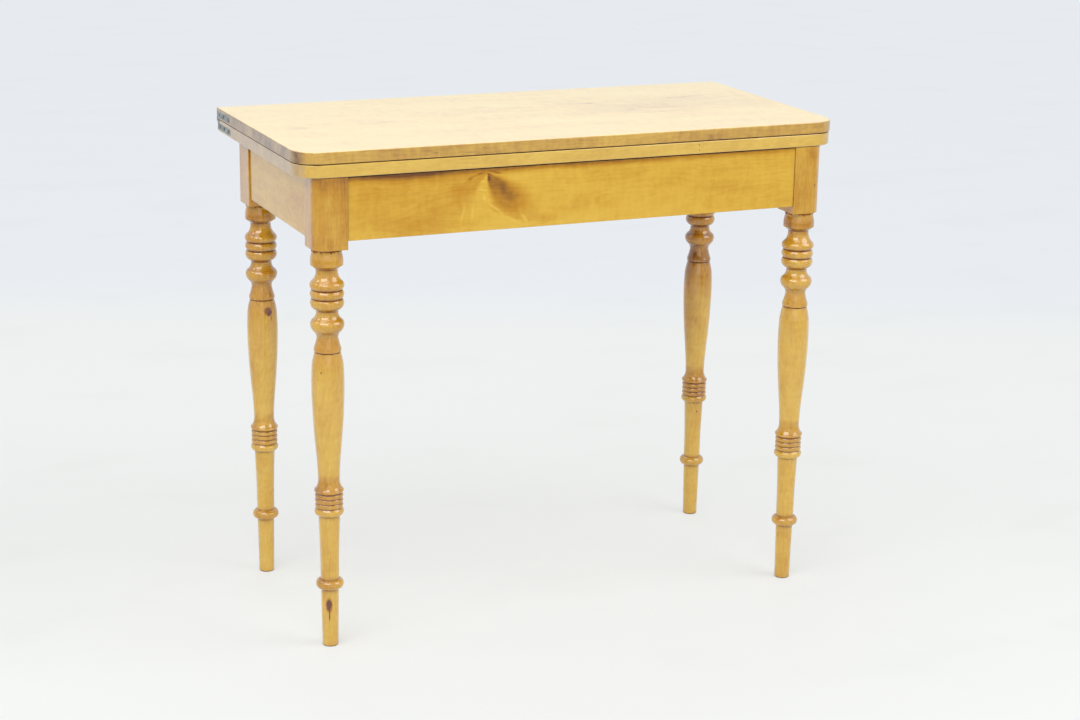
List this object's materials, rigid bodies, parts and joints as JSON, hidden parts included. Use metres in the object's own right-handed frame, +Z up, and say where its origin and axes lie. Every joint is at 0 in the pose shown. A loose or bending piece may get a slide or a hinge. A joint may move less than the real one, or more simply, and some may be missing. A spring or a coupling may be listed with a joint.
{
  "type": "fold-over games table",
  "caption": "Fold-over games table: two hinged leaves that turn on an iron pivot over a four-legged frame with turned legs and a card well.",
  "frame": {"origin": "on the floor, below the middle of the closed leaves' outline", "axes": "+X to the right along the table's width, +Y from the front to the hinged back, +Z up"},
  "size_m": [0.892, 0.4322, 0.77],
  "materials": {
    "birch_top": "glossy clear varnish",
    "birch_apron": "glossy clear varnish",
    "birch_leg": "glossy clear varnish",
    "inner_wood": "bare, matt",
    "hinge_iron": "worn, dull",
    "pivot_iron": "dark, forged",
    "iron_fixing": "worn, dull"
  },
  "bodies": {
    "frame": {"front_left_leg": "birch_leg", "front_right_leg": "birch_leg", "back_left_leg": "birch_leg", "back_right_leg": "birch_leg", "front_apron": "birch_apron", "back_apron": "birch_apron", "left_apron": "birch_apron", "right_apron": "birch_apron", "pivot_rail": "inner_wood", "well_board": "inner_wood", "well_partition": "inner_wood", "front_ledger": "inner_wood", "back_ledger": "inner_wood", "right_ledger": "inner_wood", "ledger_nails": "iron_fixing"},
    "turning_leaf": {"lower_leaf": "birch_top", "right_lower_hinge_plate": "hinge_iron", "left_lower_hinge_plate": "hinge_iron", "right_hinge_pin": "hinge_iron", "left_hinge_pin": "hinge_iron", "lower_hinge_screws": "iron_fixing", "pivot_plate": "pivot_iron", "pivot_plate_screws": "iron_fixing", "pivot_bolt": "pivot_iron", "pivot_washer": "pivot_iron", "pivot_nut": "pivot_iron", "stop_block": "inner_wood", "stop_screws": "iron_fixing"},
    "folding_leaf": {"fly_leaf": "birch_top", "right_upper_hinge_plate": "hinge_iron", "left_upper_hinge_plate": "hinge_iron", "upper_hinge_screws": "iron_fixing"}
  },
  "joints": [
    {"name": "top_swivel", "type": "hinge", "parent": "frame", "child": "turning_leaf", "pos_m": [-0.11613, 0.09763, 0.7192], "axis": [0, 0, -1], "range_deg": [0, 90]},
    {"name": "leaf_hinge", "type": "hinge", "parent": "turning_leaf", "child": "folding_leaf", "pos_m": [0, 0.21375, 0.7516], "axis": [-1, 0, 0], "range_deg": [0, 180]}
  ]
}
